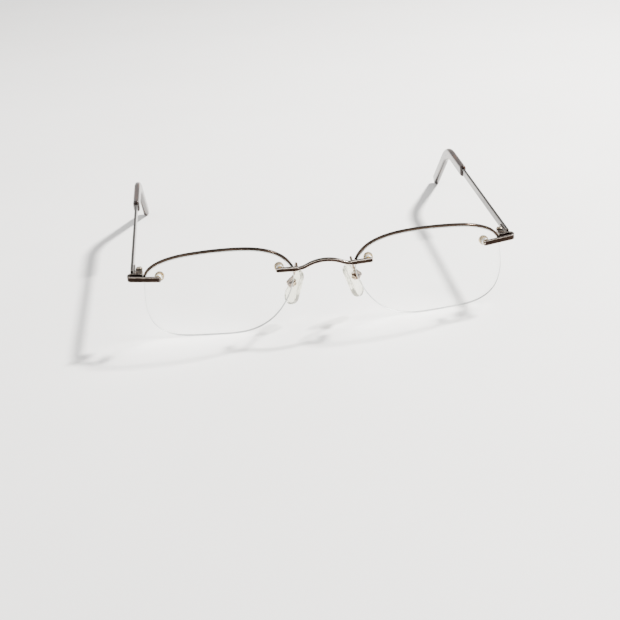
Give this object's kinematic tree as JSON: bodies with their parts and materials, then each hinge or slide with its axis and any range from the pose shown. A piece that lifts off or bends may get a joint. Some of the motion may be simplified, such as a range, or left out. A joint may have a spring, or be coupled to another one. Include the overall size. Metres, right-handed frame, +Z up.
{
  "type": "rimless eyeglasses",
  "caption": "Rimless eyeglasses with drilled clear lenses, thin brow wires, an arched bridge, rocking nose pads and folding metal temples with plastic ear tips.",
  "frame": {"origin": "on the ground under the middle of the open glasses: midway between the two temples, and midway from the bridge to the temple tips", "axes": "+Z up; lens fronts face -Y; temples run back along +Y; +X towards the wearer's left"},
  "size_m": [0.1318, 0.1472, 0.0327],
  "materials": {
    "clear_lens": "polished clear lens with an anti-reflective look",
    "clear_plastic": "translucent cream nylon",
    "pad_plastic": "soft translucent moulded plastic",
    "tip_plastic": "polished dark brown acetate",
    "gold_fittings": "polished pale gold plating",
    "screw_steel": "turned screw steel, pale gold",
    "frame_metal": "polished dark bronze-gold plating with pale edges"
  },
  "bodies": {
    "front": {"bridge": "frame_metal", "bridge_cap_nut_left": "gold_fittings", "bridge_cap_nut_right": "gold_fittings", "bridge_sleeve_left": "clear_plastic", "bridge_sleeve_right": "clear_plastic", "bridge_stud_left": "screw_steel", "bridge_stud_right": "screw_steel", "bridge_washer_left": "clear_plastic", "bridge_washer_right": "clear_plastic", "brow_wire_left": "frame_metal", "brow_wire_right": "frame_metal", "endpiece_cap_nut_left": "gold_fittings", "endpiece_cap_nut_right": "gold_fittings", "endpiece_left": "frame_metal", "endpiece_right": "frame_metal", "endpiece_sleeve_left": "clear_plastic", "endpiece_sleeve_right": "clear_plastic", "endpiece_stud_left": "screw_steel", "endpiece_stud_right": "screw_steel", "endpiece_washer_left": "clear_plastic", "endpiece_washer_right": "clear_plastic", "hinge_leaf_left": "frame_metal", "hinge_leaf_right": "frame_metal", "hinge_screw_left": "screw_steel", "hinge_screw_right": "screw_steel", "lens_left": "clear_lens", "lens_right": "clear_lens", "pad_arm_left": "gold_fittings", "pad_arm_right": "gold_fittings", "pad_box_left": "gold_fittings", "pad_box_right": "gold_fittings", "pad_screw_left": "screw_steel", "pad_screw_right": "screw_steel"},
    "temple_left": {"temple_leaf_left": "frame_metal", "temple_left": "frame_metal", "temple_tip_left": "tip_plastic"},
    "temple_right": {"temple_leaf_right": "frame_metal", "temple_right": "frame_metal", "temple_tip_right": "tip_plastic"},
    "pad_left": {"nose_pad_left": "pad_plastic"},
    "pad_right": {"nose_pad_right": "pad_plastic"}
  },
  "joints": [
    {"name": "left_temple_fold", "type": "hinge", "parent": "front", "child": "temple_left", "pos_m": [0.06175, -0.06184, 0.02393], "axis": [0, 0, 1], "range_deg": [0, 90]},
    {"name": "right_temple_fold", "type": "hinge", "parent": "front", "child": "temple_right", "pos_m": [-0.06175, -0.06184, 0.02393], "axis": [0, 0, -1], "range_deg": [0, 84]},
    {"name": "left_pad_rock", "type": "hinge", "parent": "front", "child": "pad_left", "pos_m": [0.01077, -0.06377, 0.0152], "axis": [-0.4353, -0.8499, -0.297], "range_deg": [-6, 6]},
    {"name": "right_pad_rock", "type": "hinge", "parent": "front", "child": "pad_right", "pos_m": [-0.01077, -0.06377, 0.0152], "axis": [-0.4353, 0.8499, 0.297], "range_deg": [-6, 6]}
  ]
}
